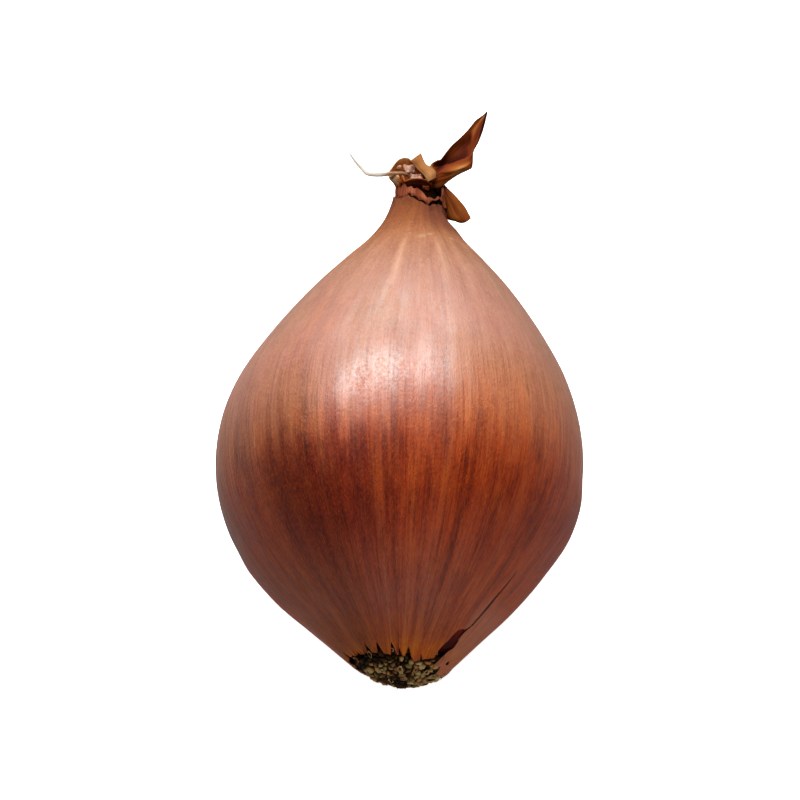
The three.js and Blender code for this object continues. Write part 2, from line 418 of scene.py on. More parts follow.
tear = {
    # the two sides of the split that runs up from the root end, as round: along
    "left": [
        (27.7, -15.9), (28.35, -17.5), (29.05, -18.8), (29.2, -19.7), (29.5, -20.5), (30.9, -21.2),
        (31.2, -21.9), (34, -22.35), (38.7, -22.5), (42.7, -22.8), (44.1, -23.2), (46.1, -23.8),
        (49.1, -24.4), (51.4, -25), (52.7, -25.4), (53.5, -26), (54, -27),
    ],
    "right": [
        (44, -27), (43, -26.2), (39.8, -25.6), (37.1, -25.2), (35.4, -24.8), (33.2, -24.5), (30.5, -24.2),
        (30, -23.8), (30.2, -23.4), (32, -23.1), (31.1, -22.4), (28.4, -21.7), (28, -20.6), (28.1, -19.7),
        (28.1, -18.8), (27.6, -17.5),
    ],
    # and the dark line that carries it on up, painted shade of a narrow split, as along: round
    "line": [
        (-22, 30.3), (-21.3, 29.5), (-20.6, 28.8), (-19.7, 28.65), (-18.8, 28.6), (-17.5, 28),
        (-15.9, 27.5),
    ],
    "chip": [(26, -25.75), (22, -25.8), (17.5, -25.6), (18.5, -25.3), (24, -25.35)],
    "overhang": 0.3,  # how far the left side stands off the bulb
    "overhangWidth": 1.8,
    "tuck": 0.22,  # and how far the right side is pressed onto it
    "tuckWidth": 0.8,
    "rimWidth": 0.45,  # of the paler skin along the right side
    "spot": 35,  # its middle, round
    "top": -14,  # nothing above this belongs to it
}


def tornEdge(turn, edge, fray, seed):
    turns, alongs = np.array(edge, float).T
    return np.interp(turn, turns, alongs) + fray * roundNoise(turn, turn * 0, 46, 0, seed)


def notchDepth(turn):
    # how far the gaps between the other tongues run up, on the side away from the view
    notches = outerSkin["notches"]
    depth = np.zeros(len(turn))
    for number in range(notches["count"]):
        stray = noise.noise(Vector((number * 3.1, 0.5, 0)))
        vary = noise.noise(Vector((number * 1.7, 4.5, 0)))
        spot = notches["first"] + number * notches["step"] + notches["stray"] * stray
        deep = notches["depth"] + notches["vary"] * vary
        shape = np.clip(1 - awayFrom(turn, spot) / notches["halfWidth"], 0, 1) ** 0.8
        depth = np.maximum(depth, deep * shape)
    return depth


def gapOutline(spot, height, width, lean):
    # flared at its foot, from below the skin's edge, and pointed at the top
    edge = float(tornEdge(np.array([spot]), outerSkin["rootEdge"], 0, 0)[0])
    side = [(0.5, -0.9), (0.5, -0.1), (0.3, 0.3 * height), (0.13, 0.7 * height)]
    left = [(spot - width * share + lean * rise / height, edge + rise) for share, rise in side]
    right = [(spot + width * share + lean * rise / height, edge + rise) for share, rise in reversed(side)]
    return left + [(spot + lean, edge + height)] + right


def distanceTo(line, points):
    # shortest distance in millimetres from each point to a line given as round: along
    turn, along = np.array(line, float).T
    corners = fromBulb(along, turn, radiusAt(along))
    nearest = np.full(len(points), np.inf)
    for start, end in zip(corners, corners[1:]):
        run = end - start
        share = np.clip((points - start) @ run / (run @ run), 0, 1)
        nearest = np.minimum(nearest, np.linalg.norm(points - start - share[:, None] * run, axis=1))
    return nearest / mm


def cutOut(piece, *outlines):
    # cuts holes whose outlines are given as round: along, straight in towards the axis
    cutters = []
    for outline in outlines:
        turn, along = np.array(outline, float).T
        bpy.ops.mesh.primitive_circle_add(vertices=len(outline), fill_type="NGON")
        cutters.append(bpy.context.object)
        writePoints(cutters[-1], fromBulb(along, turn, radiusAt(along) * 0.9))
        startEditing()
        bpy.ops.mesh.extrude_region_move()
        bpy.ops.transform.resize(value=(1.25, 1, 1.25), center_override=(0, 0, axisHeight * mm))
        endEditing()
    for cutter in cutters:
        cutter.select_set(True)
    bpy.ops.object.join()
    cutter = bpy.context.object
    applyModifier(piece, "BOOLEAN", operation="DIFFERENCE", object=cutter, solver="EXACT")
    bpy.data.objects.remove(cutter)


def makeSkin():
    profile = [(along, float(radiusAt(np.array(along)))) for along in outerSkin["rings"]]
    piece = turnRings("outerSkin", profile, body["sides"])
    along, turn, out = toBulb(readPoints(piece))
    start, reach, fray = outerSkin["neckPart"]
    neckEdge = tornEdge(turn, outerSkin["neckEdge"], fray, 3.1)
    along = np.where(along > start, start + (along - start) / reach * (neckEdge - start), along)
    start, reach, fray = outerSkin["rootPart"]
    rootEdge = tornEdge(turn, outerSkin["rootEdge"], fray, 1.3) + notchDepth(turn)
    along = np.where(along < start, start + (along - start) / reach * (rootEdge - start), along)
    # ribs that run together at the neck and the root end, and the broad lumps of the layers beneath
    ribs = roundNoise(turn, along, 34, 0.03, 0.4) + 0.5 * roundNoise(turn, along, 70, 0.05, 5.4)
    strength = smoothStep(12, 30, along) + 0.25 * smoothStep(-16, -24, along) + 0.15
    broad = outerSkin["broadDepth"] * roundNoise(turn, along, 4, 0.03, 9.2)
    out = radiusAt(along) + outerSkin["ribDepth"] * strength * ribs + broad * smoothStep(34, 10, along)
    for middle, width, depth, begins, ends in outerSkin["swellings"]:
        bell = np.exp(-((awayFrom(turn, middle) / width) ** 2))
        out += depth * smoothStep(*begins, along) * smoothStep(*ends, along) * bell
    curl = 0.4 + roundNoise(turn, along, 24, 0.2, 6.6)
    out += outerSkin["neckCurl"] * smoothStep(neckEdge - 1, neckEdge, along) * curl
    points = fromBulb(along, turn, out)
    # the sides of the tear
    leftTurns, leftAlongs = np.array(tear["left"], float).T
    rightTurns, rightAlongs = np.array(tear["right"], float).T
    middle = (np.interp(-along, -leftAlongs, leftTurns) + np.interp(along, rightAlongs, rightTurns)) / 2
    near = (along < tear["top"]) & (np.abs(turn - tear["spot"]) < 45)
    openness = 0.25 + 0.75 * smoothStep(-19, -23, along[near])
    toLeft = distanceTo(tear["left"], points[near]) / tear["overhangWidth"]
    toRight = distanceTo(tear["right"], points[near]) / tear["tuckWidth"]
    lift = tear["overhang"] * np.clip(1 - toLeft, 0, 1) ** 2
    tuck = tear["tuck"] * np.clip(1 - toRight, 0, 1) ** 2
    out[near] += openness * np.where(turn[near] > middle[near], lift, -tuck)
    writePoints(piece, fromBulb(along, turn, out))
    thicken(piece, outerSkin, -1)
    gaps = [gapOutline(*gap) for gap in outerSkin["gaps"]]
    cutOut(piece, tear["left"] + tear["right"], tear["chip"], *gaps)
    # its tone marks the right side of the tear
    points = readPoints(piece)
    near = points[:, 1] < tear["top"] * mm
    rim = np.zeros(len(points))
    rim[near] = np.clip(1 - distanceTo(tear["right"], points[near]) / tear["rimWidth"], 0, 1)
    setTone(piece, rim * smoothStep(-20.5, -22, points[:, 1] / mm))
    return piece


skinFinish = {
    # along the bulb from the root end: the skin and its light streaks
    "shades": [
        (-26.5, (196, 82, 4), (212, 106, 8)),
        (-24.7, (228, 104, 4), (236, 128, 10)),
        (-23.7, (206, 94, 38), (216, 110, 46)),
        (-20.5, (205, 91, 54), (214, 108, 64)),
        (-17, (200, 84, 44), (212, 100, 54)),
        (-14, (192, 72, 32), (208, 92, 42)),
        (-11, (180, 63, 25), (200, 88, 36)),
        (-8, (172, 60, 21), (196, 88, 34)),
        (-5, (176, 73, 35), (194, 89, 44)),
        (-1.6, (184, 98, 68), (204, 112, 66)),
        (2, (182, 111, 86), (204, 129, 98)),
        (6, (172, 111, 88), (190, 136, 109)),
        (10.5, (169, 110, 86), (187, 138, 113)),
        (16, (164, 107, 84), (187, 140, 116)),
        (21, (158, 104, 79), (187, 143, 115)),
        (27, (144, 88, 54), (176, 124, 84)),
        (31, (126, 65, 22), (152, 90, 38)),
        (36, (104, 44, 12), (134, 69, 24)),
    ],
    "wander": 5.0,  # how far the shades run up and down along a streak
    # noises drawn out along the skin, as waves round it, stretch, detail, seed, roughness, distortion
    "fibres": [
        (22, 40, 2, 1.7, 0.5, 0.4),  # broad
        (90, 60, 4, 5.2, 0.6, 0.3),  # streaks
        (105, 80, 4, 15.7, 0.6, 0.3),  # other streaks
        (240, 200, 3, 8.8, 0.6, 0.3),  # veins
        (900, 2300, 2, 2.4, 0.6),  # grain
        (13, 75, 3, 12.3, 0.6),  # blotches
        (17, 60, 3, 31.3, 0.6),  # other blotches
        (85, 260, 5, 44.1, 0.72),  # dashes
        (520, 110, 2, 21.6, 0.6),  # threads
    ],
    # what is left of red, green and blue where the skin is darker or tinted
    "stains": {
        "darken": (0.40, 0.34, 0.42), "neckDarken": (0.5, 0.42, 0.28), "pink": (0.97, 0.87, 0.95),
        "olive": (0.8, 0.85, 0.63), "ochre": (1.0, 0.95, 0.72), "speckle": (0.76, 0.66, 0.6),
        "mottle": (0.78, 0.66, 0.6), "dash": (0.62, 0.5, 0.46), "thread": (0.56, 0.42, 0.4),
        "orange": (1.04, 0.95, 0.58), "brown": (0.74, 0.84, 0.72), "violet": (0.42, 0.28, 0.5),
        # painted shade on the right of the neck, with a browner tint
        "neckBrown": (0.62, 0.46, 0.34),
    },
    "besideTear": (232, 150, 116),
    "tornRim": (206, 140, 112),
    # painted shade of the narrow split
    "crack": (62, 14, 5),
    # broad streaks by round: below zero darker, above it lighter; then those nearer the root end and the neck
    "streaks": [
        (16, 0), (28, -6), (38, 3), (42, -14), (46.5, 6), (51, 10), (56, -9), (60, 6), (64.5, -8), (69, 9),
        (72.5, 11), (76.5, -17), (81, 12), (84, 6), (89, -8), (92, -14), (95, 4), (99, 10), (103, -6),
        (106.5, 8), (112, -9), (116, 13), (120.5, -19), (125, 11), (129, -7), (133, -9), (138, 11),
        (143, -11), (150, -13), (155, 9), (164, 0),
    ],
    "rootStreaks": [
        (12, 0), (20, -8), (28, 9), (36.5, -14), (41, 3), (46, 9), (51, -8), (56.5, -10), (61.5, 9),
        (68, -10), (75, 12), (81, -10), (85.5, 15), (92.5, -16), (98, 14), (105, -10), (108, 2), (112, -7),
        (117, 7), (121, -11), (125, -6), (129, 7), (134, -12), (139, 10), (147, -6), (151, 3), (160, -8),
        (168, 0),
    ],
    "neckStreaks": [
        (20, 0), (36, -3), (41, -2), (46, 4), (53, -6), (60, 4), (65, -5), (72.5, 8), (79, -8), (85, 5),
        (90, -8), (96.5, 11), (103, -5), (108, -3), (114, 5), (121, -4), (127, 3), (133, -7), (140, 3),
        (150, -3), (160, 3), (175, 0),
    ],
    # how glossy the skin is by round
    "gloss": [
        (0, -16), (25, -14), (50, -8), (66, 0), (71, 8), (74, 16), (80, 16), (83.5, 5), (87.5, 6), (91, 14),
        (97, 20), (104, 20), (108, 14), (113, 3), (122, -5), (135, -8), (180, -12),
    ],
    # thin red lines, as round, from and to along
    "hairline": (124, 26, 14),
    "hairlines": [
        (70.5, -4.5, 2.4), (66, -9, -1.8), (73.5, -18, -11), (109.5, -6, 2.6), (92.7, -6.5, 1.2),
        (120, -12, -6), (82, -16, -9), (100, -20, -14), (58, -14, -7),
    ],
    # pale scars below the neck, as round, along, radius
    "scar": (178, 152, 112),
    "scars": [(84, 26.4, 0.8), (77, 26.8, 0.5), (57, 26.6, 0.4), (95, 27, 0.25)],
}


def skinMaterial():
    recipe = Recipe("papery skin")
    step, stains = recipe.step, skinFinish["stains"]
    place = recipe.bulbPlace()
    along = place["along"] * metre
    turn = recipe.add("ShaderNodeMath", {"operation": "ARCTAN2"}, {0: place["upwards"], 1: place["sideways"]})
    turn = turn * (180 / pi)
    broad, streaks, otherStreaks, veins, grain, blotches, otherBlotches, dashes, threads = (
        recipe.fibres(place, *fibre) for fibre in skinFinish["fibres"])
    position = recipe.position()
    speckle = recipe.noise(position, 2400.0, 3.0)
    mottle = recipe.noise(position, 650.0, 4.0, 0.7)

    def shades(column):
        low, high = skinFinish["shades"][0][0], skinFinish["shades"][-1][0]
        stops = [((shade[0] - low) / (high - low), colour(*shade[column])) for shade in skinFinish["shades"]]
        wander = (streaks + otherStreaks - 1) * skinFinish["wander"]
        wander = wander * step(24, 12, along) * step(-24, -16, along)
        return recipe.ramp((along + wander - low) / (high - low), stops)

    def broadStreaks(name):
        stops = [(spot / 180, (0.5 + amount / 40,) * 3) for spot, amount in skinFinish[name]]
        return recipe.ramp(((turn ** 2) ** 0.5 + (broad - 0.5) * 3) / 180, stops)

    # streaks, strongest round the widest part
    dark, light = shades(1), shades(2)
    strength = step(16, -1, along) * 0.65 + 0.35
    lower = step(3, -6, along)
    nearRoot = step(-4, -9, along + (streaks - 0.5) * 8)
    nearNeck = step(10, 18, along + (otherStreaks - 0.5) * 8)
    band = recipe.mixValues(nearRoot, broadStreaks("streaks"), broadStreaks("rootStreaks"))
    band = recipe.mixValues(nearNeck, band, broadStreaks("neckStreaks"))
    band = (band - 0.5) * (strength + 0.55 * nearNeck) * step(28, 24, along)
    band = band * (0.5 + veins) * (0.55 + 0.25 * lower)
    lightShare = step(0.50, 0.68, otherStreaks * 0.75 + broad * 0.25) * 0.55 * strength
    tint = recipe.mix(step(0, 1, lightShare + band * (2.4 + 3 * nearNeck)), dark, light)
    darkShare = step(0.53, 0.36, streaks * 0.7 + broad * 0.3) * (0.06 + 0.34 * lower)
    darken = recipe.mix(nearNeck, stains["darken"], stains["neckDarken"])
    tint = recipe.stain(step(0, 1, darkShare - band * (1.8 + nearNeck)), tint, darken)
    # pink, olive and ochre blotches
    upper = step(-4, 6, along) * step(32, 26, along) * 0.6 + 0.4
    tint = recipe.stain(step(0.5, 0.68, blotches) * 0.6 * upper, tint, stains["pink"])
    tint = recipe.stain(step(0.5, 0.34, blotches) * 0.6 * upper, tint, stains["olive"])
    tint = recipe.stain(step(0.52, 0.68, otherBlotches) * 0.5 * upper, tint, stains["ochre"])
    # speckles, mottling, and dashes and threads that are strongest on the lower half
    tint = recipe.stain(step(0.5, 0.7, speckle) * 0.4, tint, stains["speckle"])
    tint = recipe.mix(step(0.5, 0.3, speckle) * 0.2, tint, light)
    tint = recipe.stain(step(0.5, 0.7, mottle) * 0.5, tint, stains["mottle"])
    tint = recipe.stain(step(0.5, 0.63, dashes) * (0.22 + 0.38 * lower), tint, stains["dash"])
    tint = recipe.mix(step(0.5, 0.36, dashes) * (0.16 + 0.39 * lower), tint, light)
    middle = step(12, 3, along) * 0.85 + 0.15
    tint = recipe.stain(step(0.5, 0.66, threads) * 0.42 * middle, tint, stains["thread"])
    tint = recipe.mix(step(0.5, 0.34, threads) * 0.3 * middle, tint, light)
    # more orange on the right of the widest part
    right = step(80, 66, turn + (broad - 0.5) * 20) * step(-23, -17, along) * step(12, 4, along)
    tint = recipe.stain(right * 0.75, tint, stains["orange"])
    # browner on the left
    side = step(104, 124, turn + (streaks - 0.5) * 50) * step(7, -2, along + (otherStreaks - 0.5) * 12)
    tint = recipe.stain(side, tint, stains["brown"])
    # and darker there towards the root end
    left = step(88, 104, turn + (streaks - 0.5) * 40)
    patch = left * step(150, 128, turn + (veins - 0.5) * 30)
    reach = along + (otherStreaks - 0.5) * 12
    patch = patch * step(-1, -7, reach) * (step(-21, -12, reach) * 0.5 + 0.3)
    tint = recipe.stain(patch, tint, stains["violet"])
    # painted shade, with a browner tint: darker on the right of the neck
    neck = step(100, 66, turn + (streaks - 0.5) * 40) * step(26, 31, along)
    tint = recipe.stain(neck, tint, stains["neckBrown"])
    # paler beside the tear
    beside = step(40, 30, turn) * step(-18, -21, along) * 0.45
    tint = recipe.mix(beside, tint, colour(*skinFinish["besideTear"]))
    # fine veins and grain
    tint = recipe.stain(step(0.47, 0.66, veins) * (0.14 + 0.21 * lower), tint, darken)
    tint = recipe.stain(step(0.48, 0.66, grain) * (0.16 + 0.16 * lower), tint, darken)
    tint = recipe.mix(step(0.5, 0.34, grain) * (0.1 + 0.1 * lower), tint, light)
    for spot, start, end in skinFinish["hairlines"]:
        away = recipe.add("ShaderNodeMath", {"operation": "ABSOLUTE"}, {0: turn + (broad - 0.5) * 5 - spot})
        line = step(0.34, 0.08, away) * step(start - 1, start + 1, along) * step(end + 1, end - 1, along)
        tint = recipe.mix(line * 0.5, tint, colour(*skinFinish["hairline"]))
    for spot, scarAlong, radius in skinFinish["scars"]:
        alongs = np.array([scarAlong])
        centre = tuple(fromBulb(alongs, np.array([spot]), radiusAt(alongs))[0])
        away = recipe.add("ShaderNodeVectorMath", {"operation": "DISTANCE"}, {0: position, 1: centre}, 1)
        away = away * metre + (grain - 0.5) * 0.3
        tint = recipe.mix(step(radius, radius * 0.3, away) * 0.3, tint, colour(*skinFinish["scar"]))
    # the torn rim, and the dark line of the narrow part of the split, painted as the shade inside it
    tint = recipe.mix(step(0.2, 0.8, recipe.tone()) * 0.6, tint, colour(*skinFinish["tornRim"]))
    start, length, turns = -22, 7, 60
    stops = [((spotAlong - start) / length, (spot / turns,) * 3) for spotAlong, spot in tear["line"]]
    away = ((turn - recipe.ramp((along - start) / length, stops) * turns) ** 2) ** 0.5
    away = away + (veins - 0.5) * 0.5
    halfWidth = 0.3 + 0.95 * step(-16.5, -20.5, along)
    line = step(0.35, 0, away - halfWidth) * step(-15.6, -16.4, along) * step(-22.3, -21.8, along)
    tint = recipe.mix(line * 0.95, tint, colour(*skinFinish["crack"]))
    relief = (otherStreaks + veins + dashes + threads) * (0.2 + 0.35 * lower) + grain * 0.5
    relief = relief + mottle * (0.5 - 0.2 * lower) + speckle * 0.35
    glossGrain = step(0.36, 0.64, otherStreaks * 0.4 + dashes * 0.25 + speckle * 0.35)
    gloss = broadStreaks("gloss") * glossGrain * 1.7
    return recipe.finish({
        "Base Color": tint,
        "Roughness": 0.34 + 0.14 * veins + 0.5 * step(22, 29, along),
        "Normal": recipe.bump(relief, 0.16),
        "Specular IOR Level": 0.36,
        "Coat Weight": gloss * step(24, 14, along) * step(-24, -20, along),
        "Coat Roughness": 0.31,
    })


finishPiece(makeSkin(), skinMaterial(), "outer_skin")

# The bulb itself, whose next skin shows through the tear

innerBulb = {
    "inset": 0.75,  # from the outside of the papery skin
    "rootInset": 0.6,  # share of that at the root end
    "rootRings": [(-24.3, 0.4), (-24.3, 2.5), (-24.8, 4.9)],
    "rings": (-24.4, -23.6, -22.5, -20, -17, -14, -10, -5, 0, 5, 10, 14, 18, 22, 26, 29, 31.5, 33.6),
    "neckRings": [(35.2, 2.2), (36.8, 1.8), (37.2, 1.1), (37.2, 0.3)],
    "veins": [(116, 30, 18), (76, 16, 10)],
    "lowerEnd": (68, 12, 8),
    # painted shade, in the neck and under the tongues
    "paintedShade": (18, 8, 4),
}


def makeBulb():
    profile = list(innerBulb["rootRings"])
    for along in innerBulb["rings"]:
        inset = innerBulb["inset"] * (innerBulb["rootInset"] if along < -19 else 1)
        profile.append((along, float(radiusAt(np.array(along))) - inset))
    piece = turnRings("innerBulb", profile + innerBulb["neckRings"], 48, closed=True)
    along, turn, out = toBulb(readPoints(piece))
    # drawn in at the root end, but not behind the tear
    away = smoothStep(90, 110, np.abs(turn - tear["spot"]))
    out -= 0.6 * smoothStep(-22.5, -24, along) * away * smoothStep(1, 3, out)
    writePoints(piece, fromBulb(along, turn, out))
    return piece


def bulbMaterial():
    recipe = Recipe("glossy inner skin")
    place = recipe.bulbPlace()
    along = place["along"]
    veins = recipe.step(0.45, 0.7, recipe.fibres(place, 120, 30, 3, 4.4))
    tint = recipe.mix(veins, *[colour(*shade) for shade in innerBulb["veins"]])
    neck = recipe.step(29 * mm, 32 * mm, along)
    tint = recipe.mix(recipe.step(-22.2 * mm, -24.2 * mm, along), tint, colour(*innerBulb["lowerEnd"]))
    # painted shade: dark in the neck, and under the tongues away from the tear
    away = recipe.step(0.2, 0.5, place["upwards"] - place["sideways"])
    for paintedShade in (neck, away * recipe.step(-22 * mm, -23 * mm, along)):
        tint = recipe.mix(paintedShade, tint, colour(*innerBulb["paintedShade"]))
    return recipe.finish({
        "Base Color": tint,
        "Roughness": 0.3 + 0.6 * neck,
        "Specular IOR Level": 0.0,
        "Coat Weight": 0.22 - 0.22 * neck,
        "Coat Roughness": 0.2,
    })


finishPiece(makeBulb(), bulbMaterial(), "bulb")

# Basal plate, with the cut and dried ends of its roots

basalPlate = {
    "profile": [
        (-24.4, 3.4), (-24.5, 5.0), (-24.9, 5.5), (-25.6, 5.1), (-26.2, 4.35), (-26.8, 3.2), (-27.2, 2.0),
        (-27.38, 0.9), (-27.42, 0.2),
    ],
    "scar": 0.75,  # from one root scar to the next
    "crack": 0.36,
    "grain": 0.08,
    # from the darkest tone to the lightest, for its olive and its brown patches
    "olive": [(22, 13, 6), (78, 56, 26), (176, 148, 88), (226, 204, 150)],
    "brown": [(22, 10, 5), (92, 52, 24), (188, 130, 76), (222, 178, 126)],
}


def scarPattern(points, size):
    # for each point, how far it is from the crack between two scars, and a number for its scar
    found = [noise.voronoi(Vector(point / (size * mm))) for point in points]
    gap = np.array([distances[1] - distances[0] for distances, seeds in found])
    number = np.array([noise.cell(Vector(seeds[0]) * 7.3) for distances, seeds in found])
    return gap, number


def makePlate():
    piece = turnRings("basalPlate", basalPlate["profile"], 48, 3, closed=True)
    points = readPoints(piece)
    gap, number = scarPattern(points, basalPlate["scar"])
    raised = smoothStep(0, 0.35, gap)
    grain = basalPlate["grain"] * lumps(points, 0.3, 2.2)
    pushOut(piece, basalPlate["crack"] * (raised - 0.7 + 0.5 * number) + grain)
    along, turn, out = toBulb(readPoints(piece))
    out *= 1 + 0.03 * smoothStep(100, 130, turn)  # a little wider on the left
    writePoints(piece, fromBulb(along, turn, out))
    # black close to the skin, as painted shade under its edge, and round the middle; flaky and lighter on the
    # right
    tone = raised * (0.3 + 0.5 * np.abs(number)) + 0.15 * smoothStep(75, 30, np.abs(turn))
    tone *= 1 - 0.7 * smoothStep(4.5, 5.1, out)
    tone *= 1 - 0.8 * smoothStep(2.8, 1.8, out) * smoothStep(60, 80, np.abs(turn))
    setTone(piece, np.clip(tone, 0, 1))
    return piece


def rootMaterial():
    recipe = Recipe("dried root")
    position = recipe.position()
    grain = recipe.noise(position, 2600.0, 3.0)
    patches = recipe.noise(position, 900.0, 2.0)
    share = recipe.tone() + (grain - 0.5) * 0.3 + (patches - 0.5) * 0.2
    spots = (0.0, 0.25, 0.55, 1)
    olive, brown = (
        recipe.ramp(share, [(spot, colour(*shade)) for spot, shade in zip(spots, basalPlate[name])])
        for name in ("olive", "brown"))
    return recipe.finish({
        "Base Color": recipe.mix(recipe.step(0.42, 0.6, patches), olive, brown),
        "Roughness": 0.75,
        "Normal": recipe.bump(grain + patches, 0.08),
        "Specular IOR Level": 0.2,
    })


rootFinish = rootMaterial()
finishPiece(makePlate(), rootFinish, "root_plate", sharp=80)

rootStub = {
    "radius": 0.36,
    "thickness": 0.12,
    "length": 0.85,
    "sunk": 0.55,
    "sides": 12,
    "count": 35,
    "flare": (0.94, 0.96, 1, 1.03, 1.06, 1.06),
    # how the copies differ
    "straying": 0.16,
    "width": (0.85, 1.3),
    "squash": (0.55, 1),
    "slant": (-0.5, 0.5),
    "ragged": 0.18,
    "stretch": (0.85, 1.1),
    "tone": (0.35, 0.8),
    # painted shade inside the hollow
    "insideShadeTone": (0.05, 0.3, 0.5),
    "lowest": -27.5,
}


def makeStub():
    # one hollow root, standing on the origin, that every stub is copied from
    bpy.ops.mesh.primitive_circle_add(vertices=rootStub["sides"], radius=rootStub["radius"] * mm)
    piece = bpy.context.object
    startEditing()
    rise = rootStub["length"] * mm / len(rootStub["flare"])
    for grow in rootStub["flare"]:
        bpy.ops.mesh.extrude_region_move(TRANSFORM_OT_translate={"value": (0, 0, rise)})
        bpy.ops.transform.resize(value=(grow, grow, 1))
    endEditing()
    thicken(piece, rootStub, -1)
    return piece


def plantStub(master, number):
    # a copy with its own cut, squash and lean, standing out of the plate where its own node stands
    node = f"root_stub_{number:02d}"
    low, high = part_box(node)
    centre = (np.array(low) + np.array(high)) / 2 / mm
    chance = np.random.default_rng(number)
    away = np.array([centre[0], 0, centre[2] - axisHeight])
    spread = np.linalg.norm(away)
    # a little further out at the top and on the left
    upperLeft = smoothStep(-0.9, 0.6, (away[2] - 0.6 * away[0]) / spread)
    away *= 0.95 + 0.18 * (spread / 4.3) ** 2 * upperLeft
    spread = np.linalg.norm(away)
    alongs, radii = np.array(basalPlate["profile"][2:]).T
    foot = away + (0, np.interp(-spread, -radii, alongs), axisHeight)
    foot[0] += axisDrift(foot[1])
    outwards = away / spread * min(1, spread / 4.4) * 0.8 + np.array([0, -1, 0])
    outwards += chance.normal(0, rootStub["straying"], 3)
    outwards /= np.linalg.norm(outwards)
    piece = master.copy()
    piece.data = master.data.copy()
    bpy.context.collection.objects.link(piece)
    piece.name = node.replace("root_stub_", "rootStub")
    points = readPoints(piece) / mm
    share = points[:, 2] / rootStub["length"]
    outer = np.hypot(points[:, 0], points[:, 1]) > rootStub["radius"] * 0.8
    # wider or narrower, squashed, and spun round
    uneven = 1 + 0.35 * lumps(readPoints(piece), 0.4, number)[:, None]
    points[:, :2] *= chance.uniform(*rootStub["width"]) * uneven
    points[:, 0] *= chance.uniform(*rootStub["squash"])
    spin = chance.uniform(0, 2 * pi)
    points[:, :2] = points[:, :2] @ np.array([[cos(spin), sin(spin)], [-sin(spin), cos(spin)]])
    # a slanted and ragged cut
    slant = chance.uniform(*rootStub["slant"]) * points[:, 0]
    slant += rootStub["ragged"] * lumps(readPoints(piece), 0.3, number + 50)
    points[:, 2] = points[:, 2] * chance.uniform(*rootStub["stretch"]) + share**2 * slant
    side = np.cross(outwards, (0, 0, 1))
    side /= np.linalg.norm(side)
    up = np.cross(side, outwards)
    placed = foot - outwards * rootStub["sunk"] + points @ np.array([side, up, outwards])
    along, turn, out = toBulb(placed * mm - (axisDrift(foot[1]) * mm, 0, 0))
    # worn down level with the bulb's own outline
    out = np.minimum(out, radiusAt(along) + 0.2 - 0.3 * smoothStep(-26.5, -26, along))
    writePoints(piece, fromBulb(np.maximum(along, rootStub["lowest"]), turn, out))
    tone = chance.uniform(*rootStub["tone"])
    inside = chance.choice(rootStub["insideShadeTone"])
    # painted shade: darker towards the foot and inside the hollow; painted highlight: a lighter ring at the
    # cut
    setTone(piece, np.where(outer, tone * smoothStep(0.45, 0.95, share) + 0.2 * (share > 0.95), inside))
    finishPiece(piece, rootFinish, node)


stubMaster = makeStub()
for stubNumber in range(1, rootStub["count"] + 1):
    plantStub(stubMaster, stubNumber)
bpy.data.objects.remove(stubMaster)

# The torn end of the second skin, round the neck

collar = {
    "rings": (30.5, 31.5, 32.5, 33.2, 33.9, 34.6, 35.3, 36, 36.8),
    "thickness": 0.14,
    "swell": 0.24,
    # its torn upper edge, as round: along
    "edge": [
        (-180, 36.8), (-140, 36.4), (-105, 37.4), (-75, 38.3), (-45, 38.1), (-20, 37.1), (0, 36.6),
        (14, 36.6), (26, 36.3), (35, 35.2), (42, 34.35), (52, 33.95), (64, 33.75), (75, 33.65), (82, 33.95),
        (88, 34.5), (96, 34.9), (109, 35.15), (124, 35.6), (134, 36.1), (148, 36.5), (171, 36.8),
        (180, 36.8),
    ],
    "veins": [(150, 84, 58), (112, 54, 34)],
    "patches": (78, 32, 18),
    # painted shade, in the gap behind the skin's edge and inside
    "paintedShade": (24, 10, 5),
}


def makeCollar():
    foot, top = collar["rings"][0], collar["rings"][-1]
    piece = turnRings("neckCollar", [(along, 3.2) for along in collar["rings"]], 64, levels=3)
    along, turn, out = toBulb(readPoints(piece))
    share = (along - foot) / (top - foot)
    along = foot + share * (tornEdge(turn, collar["edge"], 0.35, 8.8) - foot)
    ribs = roundNoise(turn, along, 26, 0.06, 2.9) + 0.5 * roundNoise(turn, along, 60, 0.1, 7.1)
    out = np.minimum(radiusAt(along) - 0.3, 3.45) + 0.2 * ribs + 0.1 * share**4
    # it swells over the skin's torn edge on top
    above = along - tornEdge(turn, outerSkin["neckEdge"], outerSkin["neckPart"][2], 3.1)
    swell = collar["swell"] * smoothStep(0.2, 0.7, above) * smoothStep(24, 40, turn)
    out += swell * (1 - 0.7 * smoothStep(112, 130, turn))
    writePoints(piece, fromBulb(along, turn, out))
    # painted shade: dark down in the gap behind the skin's torn edge, and all over inside
    gap = 0.3 + 0.2 * np.exp(-(((turn - 50) / 16) ** 2)) + 0.2 * roundNoise(turn, turn * 0, 40, 0, 4.4)
    tone = smoothStep(gap, gap + 0.24, above)
    left = smoothStep(108, 124, turn) + smoothStep(-20, -60, turn)
    tone = np.maximum(tone, left * (0.5 + 0.3 * roundNoise(turn, along, 60, 0.3, 1.4)))
    thicken(piece, collar, -1)
    setTone(piece, np.concatenate([tone, tone * 0]))
    return piece


